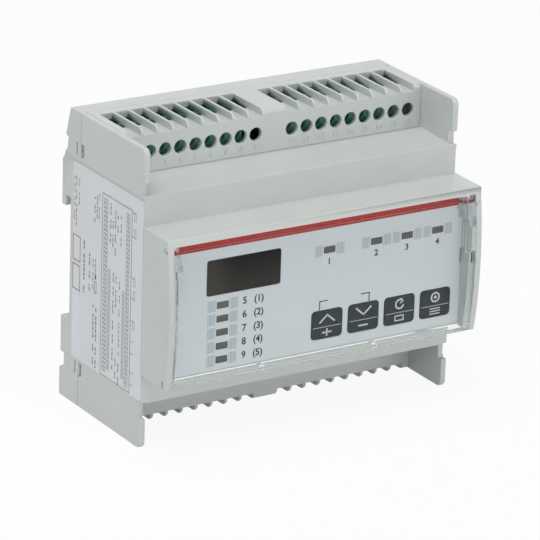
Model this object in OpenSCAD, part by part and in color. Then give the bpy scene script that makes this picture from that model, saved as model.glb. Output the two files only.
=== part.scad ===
// Insulation monitoring device for a 35 mm rail: a six-module housing with
// screw terminals above and below, a front panel with a display, indicators
// and four keys, and a clear door hinged at its upper edge.
//
// X runs to the right as seen from the front, Y to the back, Z up.
// Outlines are drawn as depth ahead of the rear face and height from the
// middle of the housing, and every module is moved to the frame by place().

/* [Housing] */
// Width of the housing
body_w = 105; // [104.4:0.1:125]
// Height of the housing
body_h = 90; // [89:0.5:100]
// Depth of the seam between rear base and front shell
seam_d = 11.2; // [10.6:0.1:12.6]
// Depth of the shoulders above and below the nose
shoulder_d = 47.8; // [46:0.1:50]
// Height left for the terminals above and below the shoulders
terminal_room = 13.8; // [13.4:0.05:14.5]
// Depth of the upper and lower edges of the nose
nose_d = 61.1; // [60.6:0.1:64]
// Height of the nose
nose_h = 44.5; // [44:0.1:48]
// Bulge of the nose front between its edges
nose_crown = 1.9; // [1.4:0.1:2.6]
// Thickness of the side walls
side_wall = 1.9; // [1.6:0.1:1.9]
// Thickness of the front shell's other walls
shell_wall = 1.8; // [1.2:0.1:2.2]
// Thickness of the nose's upper wall
nose_wall = 2.05; // [1.4:0.05:2.2]
// Thickness of the nose's lower wall
sill_wall = 1.2; // [1:0.05:1.8]
// Rounding of the front corners of the side walls
fin_r = 2; // [0.5:0.1:3]
// Height of the notch in the upper front edge of a side wall
upper_notch_h = 4; // [1:0.1:6]
// Height of the notch in the lower front edge of a side wall
lower_notch_h = 5; // [1:0.1:6]
// Depth of both notches
notch_cut = 1.8; // [0.5:0.1:3]
// Draft of the ledges ahead of the terminals
ledge_draft = 0.45; // [0:0.05:0.8]
// Depth of the shallow field in each side wall
field_cut = 0.3; // [0.2:0.05:0.5]
// Upper end of the shallow field, from the middle
field_top = 30.5; // [29.8:0.1:31]
// Lower end of the shallow field, from the middle
field_bottom = 35.3; // [31:0.1:38]

/* [Rail interface] */
// Width of the mounting rail
rail_w = 35; // [34.5:0.1:35.5]
// Thickness of the rail's edge
rail_t = 1; // [0.8:0.1:1.5]
// Depth of the seat for the rail
seat_d = 5; // [4.6:0.1:5.4]
// Thickness of the base behind the seat
base_floor = 1.8; // [1.4:0.1:2.4]
// Thickness of the base's outer walls
base_wall = 1.9; // [1.4:0.1:2.4]
// Reach of the fixed hook over the rail's edge
hook_reach = 3.2; // [2:0.1:4]
// Thickness of the fixed hook's lip
hook_lip = 2.4; // [1.6:0.1:3]
// Height of the hook block above the rail's edge
hook_h = 13.8; // [10:0.1:14]
// Room below the rail for the latches
latch_room = 2.5; // [1:0.1:4]
// Depth of the base's upper rear edge
base_edge_d = 4.9; // [3:0.1:5.5]
// Depth of the groove across the lower block
groove_d = 2.2; // [1:0.1:3]
// Height of the groove across the lower block
groove_h = 3.5; // [1:0.1:5]
// Width of the snap windows along the seam
snap_w = 1.7; // [0.6:0.1:2]
// Height of the snap windows
snap_h = 4; // [2:0.1:4.4]

/* [Rail latches] */
// Distance of a latch from the middle
latch_x = 26; // [16:0.5:36]
// Width of a latch's rib
latch_w = 7.6; // [5:0.1:10]
// Width of a latch over its flanges
latch_flange_w = 11.6; // [11:0.1:14]
// Depth of the front of the flanges' guide
guide_lip = 1.6; // [1:0.1:2]
// Play between a latch's nose and the rail
rail_play = 0.1; // [0.05:0.05:0.3]
// Reach of the nose above the rail's lower edge
latch_reach = 2.5; // [1.5:0.1:3]
// Travel of a latch when it is pulled down
latch_travel = 4; // [3:0.1:5]
// Running gap round a latch
latch_gap = 0.2; // [0.1:0.05:0.3]

/* [Terminals] */
// Distance between neighbouring terminals
pitch = 5; // [4.9:0.01:5.02]
// Holes at the end of each row with no terminal behind them
blind_ways = 1; // [0:1:3]
// Least distance of a hole's middle from the side wall
end_gap = 4.2; // [3:0.1:5]
// Distance of the innermost hole from the middle
first_x = 6.1; // [5.8:0.1:6.2]
// Depth of the covers' front face
cover_d = 30.9; // [30.5:0.1:33]
// Thickness of the covers' front wall
cover_wall = 1.6; // [1.2:0.1:2]
// Radius of the holes for the screwdriver
access_r = 2; // [1.7:0.05:2.2]
// Height of the upper holes above the middle of the cover's front
access_rise = 0.4; // [0:0.05:1]
// Distance of the lower holes from the ledge, less than that of the upper ones
access_tuck = 0.6; // [0:0.05:1]
// Thickness of the ribs between the wire entries
rib_t = 0.85; // [0.7:0.05:1.5]
// Depth of the ribs below the cover's top
rib_h = 2.2; // [1:0.05:2.4]
// Depth of the bar behind the wire entries
cover_bar = 3; // [1.5:0.1:3.4]
// Length of the open part of a wire entry
entry_l = 8; // [7:0.1:9]
// Fall of the wire entries at their front end
entry_fall = 2.1; // [1.8:0.1:3]
// Rounding of the ribs' front ends
rib_r = 1.8; // [1:0.1:2.4]
// Gap between a terminal block and the ribs above it
block_gap = 1.4; // [1:0.1:2]
// Gap between a terminal block and the cover's front wall
block_clear = 2.2; // [1.6:0.1:3.4]
// Side of a wire entry in a terminal block
clamp_w = 3.6; // [3:0.1:3.8]
// Radius of a terminal screw's head
head_r = 1.75; // [1.4:0.05:1.85]
// Radius of a terminal screw's shank
shank_r = 1.2; // [0.8:0.05:1.4]

/* [Boards] */
// Thickness of both boards
board_t = 1.6; // [1:0.1:2]
// Height of the posts under the main board
post_h = 6.1; // [5:0.1:6.4]
// Radius of the posts that carry the boards
post_r = 2.2; // [1.6:0.1:2.4]
// Radius of the board screws
screw_r = 1.2; // [0.8:0.05:1.4]
// Distance of the main board from the housing's walls
board_gap = 1.6; // [1:0.1:2]
// Width of the power transformer
trafo_w = 28; // [24:0.5:32]
// Height of the capacitors above the board
cap_h = 20; // [12:0.5:24]
// Radius of the capacitors
cap_r = 5; // [3:0.1:6]

/* [Front panel] */
// Depth of the front panel's surface
panel_d = 56; // [55.4:0.1:56.4]
// Thickness of the panel's foil
foil_t = 0.6; // [0.3:0.1:1]
// Thickness of the plate behind the foil
plate_t = 1.8; // [1.2:0.1:2.4]
// Width of the display window
window_w = 24.4; // [22:0.1:26]
// Height of the display window
window_h = 10.7; // [8:0.1:11]
// Middle of the display window across
window_x = -24.4; // [-26:0.1:-22]
// Middle of the display window up
window_z = 6.95; // [6:0.05:8]
// Depth of the display module
display_t = 7.2; // [6:0.1:8]
// Width of an indicator
led_w = 3.85; // [3:0.05:4.4]
// Height of an indicator
led_h = 2; // [1.4:0.05:2.4]
// Height of the upper row of indicators
status_z = 9.15; // [7:0.05:12]
// Place of the left column of indicators
measure_x = -31.15; // [-36:0.05:-28]
// Height of the column's uppermost indicator
measure_z = -1.6; // [-2.6:0.05:-1.5]
// Distance between the column's indicators
measure_step = 4.12; // [3.4:0.01:4.2]
// Width of a key
key_w = 10.4; // [9:0.1:11]
// Height of a key
key_h = 8.6; // [8:0.1:9.2]
// Rounding of a key's corners
key_r = 1.2; // [0.4:0.1:2]
// Middle of the first key
key_x = 4; // [3:0.1:4.5]
// Distance between the keys
key_step = 12.43; // [12:0.01:12.5]
// Height of the row of keys
key_z = -13.5; // [-14:0.1:-13]
// Stand of a key proud of the panel
key_proud = 0.2; // [0:0.05:0.5]
// Travel of a key
key_travel = 0.4; // [0.2:0.05:0.6]
// Gap round a key
key_gap = 0.15; // [0.1:0.05:0.3]

/* [Door] */
// Depth of the door's pivot
pivot_d = 60.2; // [60.1:0.05:60.4]
// Height of the door's pivot below the nose's top
pivot_drop = 3.25; // [3.25:0.05:4]
// Radius of the door's barrel
barrel_r = 1; // [0.9:0.05:1]
// Radius of the door's pins
pin_r = 0.8; // [0.6:0.02:0.8]
// Radial clearance of the pins in their bores
pin_gap = 0.07; // [0.03:0.01:0.1]
// Thickness of the door
door_t = 1.6; // [1.2:0.1:1.8]
// Gap between door and side walls
door_gap = 0.2; // [0.15:0.05:0.4]
// Thickness of the door's side flanges
flange_t = 1.5; // [1:0.1:2]
// Gap between the door's flanges and the panel
flange_gap = 1; // [0.6:0.1:1.6]

/* [Label] */
// Thickness of the side label
label_t = 0.2; // [0.1:0.05:0.2]
// Depth of the label's rear edge
label_rear = 7.1; // [6:0.1:9]
// Gap between the label's front edge and the shoulder
label_front = 0.3; // [0.1:0.1:4]
// Gap between the label and the ends of the shallow field
label_gap = 0.9; // [0.3:0.1:3]
// Length of the label
label_h = 60; // [40:0.1:60]

/* [Hidden] */
$fn = 48;
arc_fn = 240;
cut = 0.5;          // overrun of a cutting tool past a face

half_w = body_w / 2;
half_h = body_h / 2;
inner_w = half_w - side_wall;
nose_z = nose_h / 2;
recess_z = nose_z - nose_wall;
sill_z = nose_z - sill_wall;
front_d = nose_d + nose_crown;
nose_r = (nose_z * nose_z + nose_crown * nose_crown) / (2 * nose_crown);
ledge_z = half_h - terminal_room;
cover_z = ledge_z + ledge_draft;
rail_z = rail_w / 2;

// Rear base
edge_slope_h = 8.7;                 // sloped rear face below the upper edge
edge_step_d = 2.3;
edge_notch_top = [3.8, 0.6];        // small notch under the slope: depth, drop
edge_notch_low = [3.1, 4.1];
hook_chamfer = [2.4, 3.6];
base_inside_d = seat_d + base_floor;
base_pocket_d = 4.8;                // floor of the hollow above the rail
lower_block_z = rail_z + latch_room;
groove_drop = 11.5;
groove_z = lower_block_z + groove_drop;
groove_slope = 1.5;
hollow_draft = [0.1, 0.3, 1];       // slants at the ends of the hollow's floor
slit_w = 0.8;
slit_d = 8.5;
snap_depth = 1;
snap_rise = 0.4;
snap_z = ledge_z + snap_rise;
nose_slit = [59.1, 60, 2.2, 1.2]; // depths, height and cut of the nose's lower slits

// Rail latches
guide_stop = 1.3;                   // height of the guide's narrow mouth
latch_lift = 0.8;                   // latch's lower end above the housing's foot
latch_back = 0.15;                  // latch's rear face ahead of the base's
latch_front_d = seat_d - rail_t - rail_play;
latch_nose = [1.2, 2.2];            // flat and fall of the nose's upper end
pull_size = [4, 3];                 // window for the screwdriver that pulls the latch
pull_lift = 2;
peg_r = 1;                          // peg of the base that stops the latch's travel
peg_d = 1.5;
peg_z = -32;

// Boards
main_back_d = base_inside_d + post_h;
main_front_d = main_back_d + board_t;
plate_front_d = panel_d - foil_t;
plate_back_d = plate_front_d - plate_t;
display_front_d = plate_back_d - display_t;
display_back_d = display_front_d - board_t;
main_x = inner_w - board_gap;
main_z = half_h - base_wall - board_gap;
block_lift = 0.75;
block_z = cover_z + block_lift;     // foot of the terminal blocks
post_inset = 3.5;
post_drop = 5.4;                    // main board's posts below the blocks
main_post = [main_x - post_inset, block_z - post_drop];
head_gap = 1.4;                     // board screw head wider than its shank
head_t = 1.5;
screw_run = 4;
display_gap = 0.4;
display_x = inner_w - display_gap;
display_z = recess_z - display_gap;
post_gap = 0.2;
display_post = [inner_w - post_r - post_gap, 16.2, -6.4];

// Main board's parts
header_x = 6;
header_z = -18;
header_pins = 8;
header_step = 2.54;
header_h = 8.5;
header_half = 1.3;
header_pin = 0.32;
header_collar = 2.5;
trafo_h = 24;
trafo_core = 7;
trafo_d = 20;
trafo_step = 2;
relay_size = [28, 15.7, 12.7];
relay_white = [0.85, 0.85, 0.83];
relay_inset = 1;
relay_x = main_x - relay_inset - relay_size[0] / 2;
relay_z = 14;
cap_gap = 3;
cap_z = 12;
cap_x = relay_x - relay_size[0] / 2 - cap_gap - 3 * cap_r - 1;
trafo_x = (cap_x - cap_r - main_x) / 2;
chip_shift = 4;
chip_x = relay_x - chip_shift;
chip_z = -8;
chip_w = 12;
chip_t = 1.4;

// Terminals
cover_back_z = half_h - rib_h;
entry_d0 = seam_d + cover_bar;
entry_d1 = entry_d0 + entry_l;
entry_front_z = half_h - entry_fall;
access_z = (cover_z + entry_front_z) / 2 + access_rise;
lower_access_z = access_z - access_tuck;
ways = floor((inner_w - first_x - end_gap) / pitch) + 1;
poles = ways - blind_ways;
block_top = cover_back_z - block_gap;
block_front_d = cover_d - cover_wall - block_clear;
block_step_back = 0.6;
block_step_d = entry_d1 - block_step_back;
block_step_h = 1.5;
left_row_x = -first_x - (ways - 0.5) * pitch;
right_row_x = first_x - pitch / 2;
row_half = first_x + (ways - 1) * pitch + (pitch - rib_t) / 2;
clamp_back = 1.6;
clamp_depth = clamp_w - 0.6;
clamp_d0 = main_front_d + clamp_back;
clamp_d1 = clamp_d0 + clamp_depth;
clamp_t = 0.5;
clamp_gap = 0.05;
clamp_sink = 1.6;                   // clamp's upper end below the block's top
clamp_floor = 3;                    // clamp's lower end above the block's foot
clamp_h = block_top - block_z - clamp_sink - clamp_floor;
head_rise = 3.5;
head_d0 = clamp_d1 + head_rise;
head_len = 1.8;

// Front panel: places across follow the housing's width
layout_half = 50.6;                 // half the clear width that the layout is drawn for
status_x = [4.1, 20.1, 30.6, 41.2] * inner_w / layout_half;
column_x = measure_x * inner_w / layout_half;
screen_x = window_x * inner_w / layout_half;
function key_place(i) = (key_x + i * key_step) * inner_w / layout_half;
measure_count = 5;
window_lap = 1;                     // ledge of the plate behind the window
led_lap = 0.35;
fit_gap = 0.05;
window_r = 0.8;
led_body = [5, 2.4, 1.5];
led_r = 0.2;
key_flange = 0.7;
key_flange_t = 1;
key_rest = 0.1;                     // gap between a key's flange and the plate
switch_w = 6;
switch_t = 3.5;
plunger_r = 1.7;
plunger_gap = 0.1;
plunger_out = 0.8;
plunger_in = 1.2;                   // plunger's reach into the switch beyond its travel
switch_floor = 0.8;
module_frame = [-2, 3];             // display module narrower and taller than its window
port_x = [inner_w - 1.3, inner_w - 0.1];
port_z = [-2.6, 2.3];

// Door
pivot_z = nose_z - pivot_drop;
door_x = inner_w - door_gap;
foot_rise = 0.2;
door_foot = nose_z - foot_rise;
relief_h = 1.35;                    // upper edge kept inside the barrel's reach
relief_slope = 0.76;
edge_half = 0.9;
edge_inset = 0.05;
flange_drop = 0.8;
flange_top = pivot_z - flange_drop;
flange_sink = 0.5;                  // flange's front edge inside the plate, as a share of it
arm_sink = 0.6;
door_back = 4;                      // start of the curved plate's cut behind the pivot
arm_w = 3;
arm_z = 12.5;
pin_short = 0.4;                    // pin's end inside the side wall's face
foot_gap = 0.3;
sill_gap = 0.15;                    // lower edge's upper face below the nose's lower wall
door_sill = sill_wall - foot_rise - sill_gap;
catch_x = 19;                       // small slots for the catches in the lower edge
catch_w = 1.6;
catch_d = 2.2;
flange_slot = [57.6, 60, 2, 10];    // window in each side flange: depths, heights

shell_grey = [0.80, 0.81, 0.79];
panel_grey = [0.76, 0.80, 0.82];
dark_grey = [0.16, 0.18, 0.19];
key_grey = [0.14, 0.15, 0.16];
led_grey = [0.42, 0.40, 0.37];
clear = [0.80, 0.88, 0.90, 0.35];
terminal_green = [0.20, 0.45, 0.34];
board_green = [0.13, 0.33, 0.20];
metal = [0.72, 0.73, 0.74];
black = [0.08, 0.08, 0.09];
label_white = [0.88, 0.89, 0.90];

function arc_d(z, inset = 0) =
    front_d - nose_r + sqrt((nose_r - inset) * (nose_r - inset) - z * z);

// Moves a piece from the drawing's origin to the middle of the footprint.
module place() {
    translate([0, front_d / 2, half_h]) children();
}

// Extrudes an outline of depth and height from x0 to x1.
module across(x0, x1) {
    translate([x0, 0, 0]) rotate([90, 0, 90]) linear_extrude(x1 - x0) mirror([1, 0]) children();
}

// Box between two depths, two heights and two places across.
module box(x, d, z) {
    translate([x[0], -d[1], z[0]]) cube([x[1] - x[0], d[1] - d[0], z[1] - z[0]]);
}

// Round post along the depth.
module post(x, z, r, d0, d1) {
    translate([x, -d0, z]) rotate([90, 0, 0]) cylinder(r = r, h = d1 - d0);
}

// Rectangle with round corners, standing on the depth d0 and reaching d1.
module pad(x, z, w, h, r, d0, d1) {
    translate([x, -d0, z]) rotate([90, 0, 0]) linear_extrude(d1 - d0) rounded(w, h, r);
}

module rounded(w, h, r) {
    square([w - 2 * r, h], center = true);
    square([w, h - 2 * r], center = true);
    for (sx = [-1, 1], sy = [-1, 1])
        translate([sx * (w / 2 - r), sy * (h / 2 - r)]) circle(r);
}

module both_sides() {
    children();
    mirror([1, 0, 0]) children();
}

// Rear base: hollow tray with the rail hook above and the latch guides below.

module base_outline() {
    polygon([
        [seam_d, half_h], [base_edge_d, half_h],
        [edge_step_d, half_h - edge_slope_h],
        [edge_notch_top[0], half_h - edge_slope_h - edge_notch_top[1]],
        [edge_notch_low[0], half_h - edge_slope_h - edge_notch_low[1]],
        [hook_chamfer[0], rail_z + hook_h],
        [0, rail_z + hook_h - hook_chamfer[1]],
        [0, rail_z - hook_reach], [hook_lip, rail_z - hook_reach],
        [hook_lip, rail_z], [seat_d, rail_z],
        [seat_d, -lower_block_z], [0, -lower_block_z],
        [0, -groove_z], [groove_d, -groove_z],
        [groove_d, -groove_z - groove_h], [0, -groove_z - groove_h - groove_slope],
        [0, -half_h], [seam_d, -half_h]
    ]);
}

module base_hollow() {
    top = half_h - base_wall;
    polygon([
        [seam_d + cut, top], [base_inside_d + hollow_draft[0], top],
        [base_pocket_d, half_h - edge_slope_h],
        [base_pocket_d, lower_block_z + hollow_draft[1]],
        [base_inside_d, rail_z + hollow_draft[2]],
        [base_inside_d, -top], [seam_d + cut, -top]
    ]);
}

module latch_guide() {
    neck = latch_w / 2 + latch_gap;
    wide = latch_flange_w / 2 + latch_gap;
    floor_d = latch_front_d + latch_gap;
    mouth = -lower_block_z - guide_stop;
    box([-neck, neck], [-cut, floor_d], [-half_h - cut, -lower_block_z + cut]);
    box([-wide, wide], [guide_lip, floor_d], [-half_h - cut, mouth]);
}

module side_field(d0, d1) {
    both_sides()
        box([half_w - field_cut, half_w + cut], [d0, d1], [-field_bottom, field_top]);
}

module rear_base() {
    color(shell_grey) place() difference() {
        union() {
            difference() {
                across(-half_w, half_w) base_outline();
                across(-half_w + base_wall, half_w - base_wall) base_hollow();
            }
            for (sx = [-1, 1], sz = [-1, 1])
                post(sx * main_post[0], sz * main_post[1], post_r, base_pocket_d - cut, main_back_d);
        }
        for (sx = [-1, 1]) {
            translate([sx * latch_x, 0, 0]) difference() {
                latch_guide();
                post(0, peg_z, peg_r, peg_d, latch_front_d + latch_gap + cut);
            }
            for (sz = [-1, 1])
                post(sx * main_post[0], sz * main_post[1], screw_r + fit_gap,
                     main_back_d - screw_run, main_back_d + cut);
        }
        side_field(-cut, seam_d + cut);
        for (sz = [-1, 1]) scale([1, 1, sz]) both_sides()
            box([half_w - snap_depth, half_w + cut], [slit_d, slit_d + slit_w],
                [snap_z, snap_z + snap_h]);
    }
}

// Front shell: side walls that stand proud as fins, shoulders, nose and the
// recessed plate that carries the panel.

module side_outline() {
    difference() {
        union() {
            translate([seam_d, -half_h]) square([shoulder_d - seam_d - fin_r, body_h]);
            translate([shoulder_d - fin_r - cut, -half_h + fin_r])
                square([fin_r + cut, body_h - 2 * fin_r]);
            for (s = [-1, 1]) translate([shoulder_d - fin_r, s * (half_h - fin_r)]) circle(fin_r);
        }
        translate([shoulder_d - notch_cut, ledge_z - 0.2]) square([notch_cut + cut, upper_notch_h]);
        translate([shoulder_d - notch_cut, -ledge_z + 0.2 - lower_notch_h])
            square([notch_cut + cut, lower_notch_h]);
    }
    nose_end(shoulder_d - shell_wall, nose_z, nose_z);
}

// Part of the nose's side view ahead of depth d0, between two heights.
module nose_end(d0, below, above) {
    intersection() {
        translate([d0, -below]) square([front_d - d0 + cut, below + above]);
        translate([front_d - nose_r, 0]) circle(nose_r, $fn = arc_fn);
    }
}

module half_walls(inner_z) {
    ledge_back_d = cover_d - cover_wall;
    polygon([
        [ledge_back_d, cover_z], [cover_d, cover_z], [shoulder_d, ledge_z],
        [shoulder_d, inner_z], [shoulder_d - shell_wall, inner_z],
        [shoulder_d - shell_wall, ledge_z - shell_wall],
        [ledge_back_d, cover_z - shell_wall]
    ]);
}

module shell_walls() {
    half_walls(recess_z);
    mirror([0, 1]) half_walls(sill_z);
    difference() {
        nose_end(shoulder_d - shell_wall, 0, nose_z);
        translate([0, -cut]) square([front_d + cut, recess_z + cut]);
    }
    translate([shoulder_d - shell_wall, -nose_z])
        square([panel_d - shoulder_d + shell_wall, sill_wall]);
    translate([plate_back_d, -sill_z - cut]) square([plate_t, sill_z + recess_z + 2 * cut]);
}

module front_shell() {
    color(shell_grey) place() difference() {
        union() {
            both_sides() across(inner_w, half_w) side_outline();
            across(-inner_w, inner_w) shell_walls();
            for (sx = [-1, 1], z = [display_post[1], display_post[2]])
                post(sx * display_post[0], z, post_r, display_front_d, plate_back_d + cut);
        }
        display_opening(window_w - 2 * window_lap, window_h - 2 * window_lap);
        led_openings(led_w - 2 * led_lap, led_h - 2 * led_lap);
        key_openings();
        for (sx = [-1, 1], z = [display_post[1], display_post[2]])
            post(sx * display_post[0], z, screw_r + fit_gap,
                 display_front_d - cut, display_front_d + screw_run);
        across(-half_w - cut, half_w + cut) translate([pivot_d, pivot_z]) circle(pin_r + pin_gap);
        side_field(seam_d - cut, shoulder_d);
        for (sz = [-1, 1]) scale([1, 1, sz]) both_sides()
            box([half_w - snap_depth, half_w + cut], [seam_d - cut, seam_d + snap_w],
                [snap_z, snap_z + snap_h]);
        port_opening();
        both_sides()
            box([half_w - nose_slit[3], half_w + cut], [nose_slit[0], nose_slit[1]],
                [-nose_z - cut, -nose_z + nose_slit[2]]);
    }
}

module display_opening(w, h) {
    pad(screen_x, window_z, w, h, window_r, plate_back_d - cut, panel_d + cut);
}

module led_openings(w, h) {
    for (x = status_x) pad(x, status_z, w, h, led_r, plate_back_d - cut, panel_d + cut);
    for (i = [0 : measure_count - 1])
        pad(column_x, measure_z - i * measure_step, w, h, led_r, plate_back_d - cut, panel_d + cut);
}

module key_openings() {
    for (i = [0 : 3])
        pad(key_place(i), key_z, key_w + 2 * key_gap, key_h + 2 * key_gap,
            key_r + key_gap, plate_back_d - cut, panel_d + cut);
}

module port_opening() {
    box(port_x, [plate_back_d - cut, panel_d + cut], port_z);
}

// Terminal covers: holes for the screwdriver in front, ribbed wire entries on top.

function way_x(i) = first_x + i * pitch;

module cover_front() {
    translate([cover_d - cover_wall, cover_z]) square([cover_wall, entry_front_z - cover_z]);
    polygon([
        [entry_d1, cover_back_z], [cover_d, entry_front_z],
        [cover_d, entry_front_z - cover_wall], [entry_d1, cover_back_z - cover_wall]
    ]);
}

module rib_outline() {
    intersection() {
        translate([entry_d0 - cut, half_h - rib_h - entry_fall])
            square([cover_d - entry_d0 + cut, rib_h + entry_fall]);
        union() {
            translate([entry_d0 - cut, half_h - rib_h]) square([cover_d - rib_r - entry_d0 + cut, rib_h]);
            translate([cover_d - rib_r, half_h - rib_r]) circle(rib_r);
            polygon([
                [entry_d1, half_h - rib_h / 2], [cover_d - rib_r, half_h - rib_h / 2],
                [cover_d, half_h - rib_r], [cover_d, entry_front_z - cut], [entry_d1, cover_back_z - cut]
            ]);
        }
    }
}

module terminal_cover(hole_z) {
    color(shell_grey) place() difference() {
        union() {
            across(-inner_w, inner_w) cover_front();
            across(-inner_w, inner_w) translate([seam_d, cover_back_z]) square([cover_bar, rib_h]);
            both_sides() {
                for (i = [0 : ways - 2])
                    across(way_x(i + 0.5) - rib_t / 2, way_x(i + 0.5) + rib_t / 2) rib_outline();
                across(row_half, inner_w) rib_outline();
            }
            across(-first_x + (pitch - rib_t) / 2, first_x - (pitch - rib_t) / 2) rib_outline();
        }
        both_sides() for (i = [0 : ways - 1])
            post(way_x(i), hole_z, access_r, cover_d - cover_wall - cut, cover_d + cut);
    }
}

module terminal_cover_top() {
    terminal_cover(access_z);
}

module terminal_cover_bottom() {
    lower() terminal_cover(lower_access_z);
}

// Clear door: curved plate in a shallow frame, turning on two stub pins.

module door_plate() {
    step_d = pivot_d + edge_half;
    step_z = pivot_z - relief_h;
    difference() {
        nose_end(pivot_d - door_back, door_foot, pivot_z);
        translate([front_d - nose_r, 0]) circle(nose_r - door_t, $fn = arc_fn);
        polygon([
            [step_d, pivot_z + cut], [step_d, step_z],
            [front_d, step_z - relief_slope * (front_d - step_d)], [front_d, pivot_z + cut]
        ]);
    }
}

module door_lower_edge() {
    intersection() {
        translate([panel_d + foot_gap, -door_foot]) square([front_d - panel_d, door_sill]);
        translate([front_d - nose_r, 0]) circle(nose_r - door_t / 2, $fn = arc_fn);
    }
}

module door_flange(bottom, top, sink) {
    intersection() {
        translate([panel_d + flange_gap, bottom]) square([front_d - panel_d, top - bottom]);
        translate([front_d - nose_r, 0]) circle(nose_r - sink * door_t, $fn = arc_fn);
    }
}

module front_door() {
    color(clear) place() difference() {
        union() {
            across(-door_x, door_x) door_plate();
            across(-door_x, door_x) door_lower_edge();
            across(-door_x, door_x) translate([pivot_d, pivot_z]) circle(barrel_r);
            both_sides() across(door_x - flange_t, door_x) difference() {
                door_flange(-door_foot + cut, flange_top, flange_sink);
                translate([flange_slot[0], flange_slot[2]])
                    square([flange_slot[1] - flange_slot[0], flange_slot[3] - flange_slot[2]]);
            }
            both_sides() across(door_x - arm_w, door_x - flange_t / 2)
                door_flange(arm_z, flange_top - edge_inset, arm_sink);
            both_sides() across(door_x - cut, half_w - pin_short)
                translate([pivot_d, pivot_z]) circle(pin_r);
        }
        for (sx = [-1, 1])
            box([sx * catch_x - catch_w / 2, sx * catch_x + catch_w / 2],
                [panel_d, panel_d + catch_d], [-door_foot - cut, -door_foot + door_sill + cut]);
    }
}

// Front panel with its windows, indicators and keys.

module front_panel() {
    color(panel_grey) place() difference() {
        box([-inner_w + fit_gap, inner_w - fit_gap], [plate_front_d, panel_d],
            [-sill_z + fit_gap, recess_z - fit_gap]);
        display_opening(window_w + 2 * fit_gap, window_h + 2 * fit_gap);
        led_openings(led_w + 2 * fit_gap, led_h + 2 * fit_gap);
        key_openings();
        port_opening();
    }
}

module display_window() {
    color(dark_grey) place()
        pad(screen_x, window_z, window_w, window_h, window_r, plate_front_d, panel_d);
}

module status_windows() {
    color(led_grey) place()
        for (x = status_x) pad(x, status_z, led_w, led_h, led_r, plate_front_d, panel_d);
}

module measure_windows() {
    color(led_grey) place() for (i = [0 : measure_count - 1])
        pad(column_x, measure_z - i * measure_step, led_w, led_h, led_r, plate_front_d, panel_d);
}

module key(i) {
    x = key_place(i);
    flange_front = plate_back_d - key_rest;
    color(key_grey) place() {
        pad(x, key_z, key_w, key_h, key_r, flange_front - key_flange_t / 2, panel_d + key_proud);
        box([x - key_w / 2 + key_r, x + key_w / 2 - key_r], [flange_front - key_flange_t, flange_front],
            [key_z - key_h / 2 - key_flange, key_z + key_h / 2 + key_flange]);
        post(x, key_z, plunger_r, switch_top_d() + plunger_out, flange_front - key_flange_t / 2);
    }
}

function switch_top_d() = display_front_d + switch_t;

module plunger(i) {
    color(black) place()
        post(key_place(i), key_z, plunger_r, switch_top_d() - key_travel - plunger_in,
             switch_top_d() + plunger_out);
}

module up_key() { key(0); }
module down_key() { key(1); }
module reset_key() { key(2); }
module test_key() { key(3); }
module up_plunger() { plunger(0); }
module down_plunger() { plunger(1); }
module reset_plunger() { plunger(2); }
module test_plunger() { plunger(3); }

module key_switches() {
    color(black) place() for (i = [0 : 3]) {
        x = key_place(i);
        difference() {
            box([x - switch_w / 2, x + switch_w / 2], [display_front_d, switch_top_d()],
                [key_z - switch_w / 2, key_z + switch_w / 2]);
            post(x, key_z, plunger_r + plunger_gap, display_front_d + switch_floor, switch_top_d() + cut);
        }
    }
}

module display_module() {
    w = window_w + module_frame[0];
    h = window_h + module_frame[1];
    color(black) place() box([screen_x - w / 2, screen_x + w / 2],
                             [display_front_d, plate_back_d], [window_z - h / 2, window_z + h / 2]);
}

module led(x, z) {
    pad(x, z, led_w, led_h, led_r, display_front_d, plate_back_d);
    box([x - led_body[0] / 2, x + led_body[0] / 2], [display_front_d, display_front_d + led_body[2]],
        [z - led_body[1] / 2, z + led_body[1] / 2]);
}

module status_leds() {
    color(led_grey) place() for (x = status_x) led(x, status_z);
}

module measure_leds() {
    color(led_grey) place()
        for (i = [0 : measure_count - 1]) led(column_x, measure_z - i * measure_step);
}

module board_hole(x, z, d0, d1) {
    post(x, z, screw_r + fit_gap, d0 - cut, d1 + cut);
}

module display_board() {
    color(board_green) place() difference() {
        box([-display_x, display_x], [display_back_d, display_front_d], [-display_z, display_z]);
        for (sx = [-1, 1], z = [display_post[1], display_post[2]])
            board_hole(sx * display_post[0], z, display_back_d, display_front_d);
    }
}

module display_board_screws() {
    color(metal) place() for (sx = [-1, 1], z = [display_post[1], display_post[2]]) {
        post(sx * display_post[0], z, screw_r, display_back_d - cut, display_front_d + screw_run - 1);
        post(sx * display_post[0], z, post_r - post_gap, display_back_d - head_t, display_back_d);
    }
}

// Boards and what they carry.

module main_board() {
    color(board_green) place() difference() {
        box([-main_x, main_x], [main_back_d, main_front_d], [-main_z, main_z]);
        for (sx = [-1, 1], sz = [-1, 1])
            board_hole(sx * main_post[0], sz * main_post[1], main_back_d, main_front_d);
    }
}

module main_board_screws() {
    color(metal) place() for (sx = [-1, 1], sz = [-1, 1]) {
        post(sx * main_post[0], sz * main_post[1], screw_r, main_back_d - screw_run + 1,
             main_front_d + cut);
        post(sx * main_post[0], sz * main_post[1], screw_r + head_gap, main_front_d,
             main_front_d + head_t);
    }
}

module board_header() {
    w = header_pins * header_step;
    color(black) place() {
        box([header_x - w / 2, header_x + w / 2], [main_front_d, main_front_d + header_h],
            [header_z - header_half, header_z + header_half]);
        for (i = [0 : header_pins - 1]) {
            x = header_x + (i - (header_pins - 1) / 2) * header_step;
            box([x - header_pin, x + header_pin], [main_front_d + header_h - cut, display_back_d - cut],
                [header_z - header_pin, header_z + header_pin]);
        }
        box([header_x - w / 2, header_x + w / 2], [display_back_d - header_collar, display_back_d],
            [header_z - header_half, header_z + header_half]);
    }
}

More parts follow.
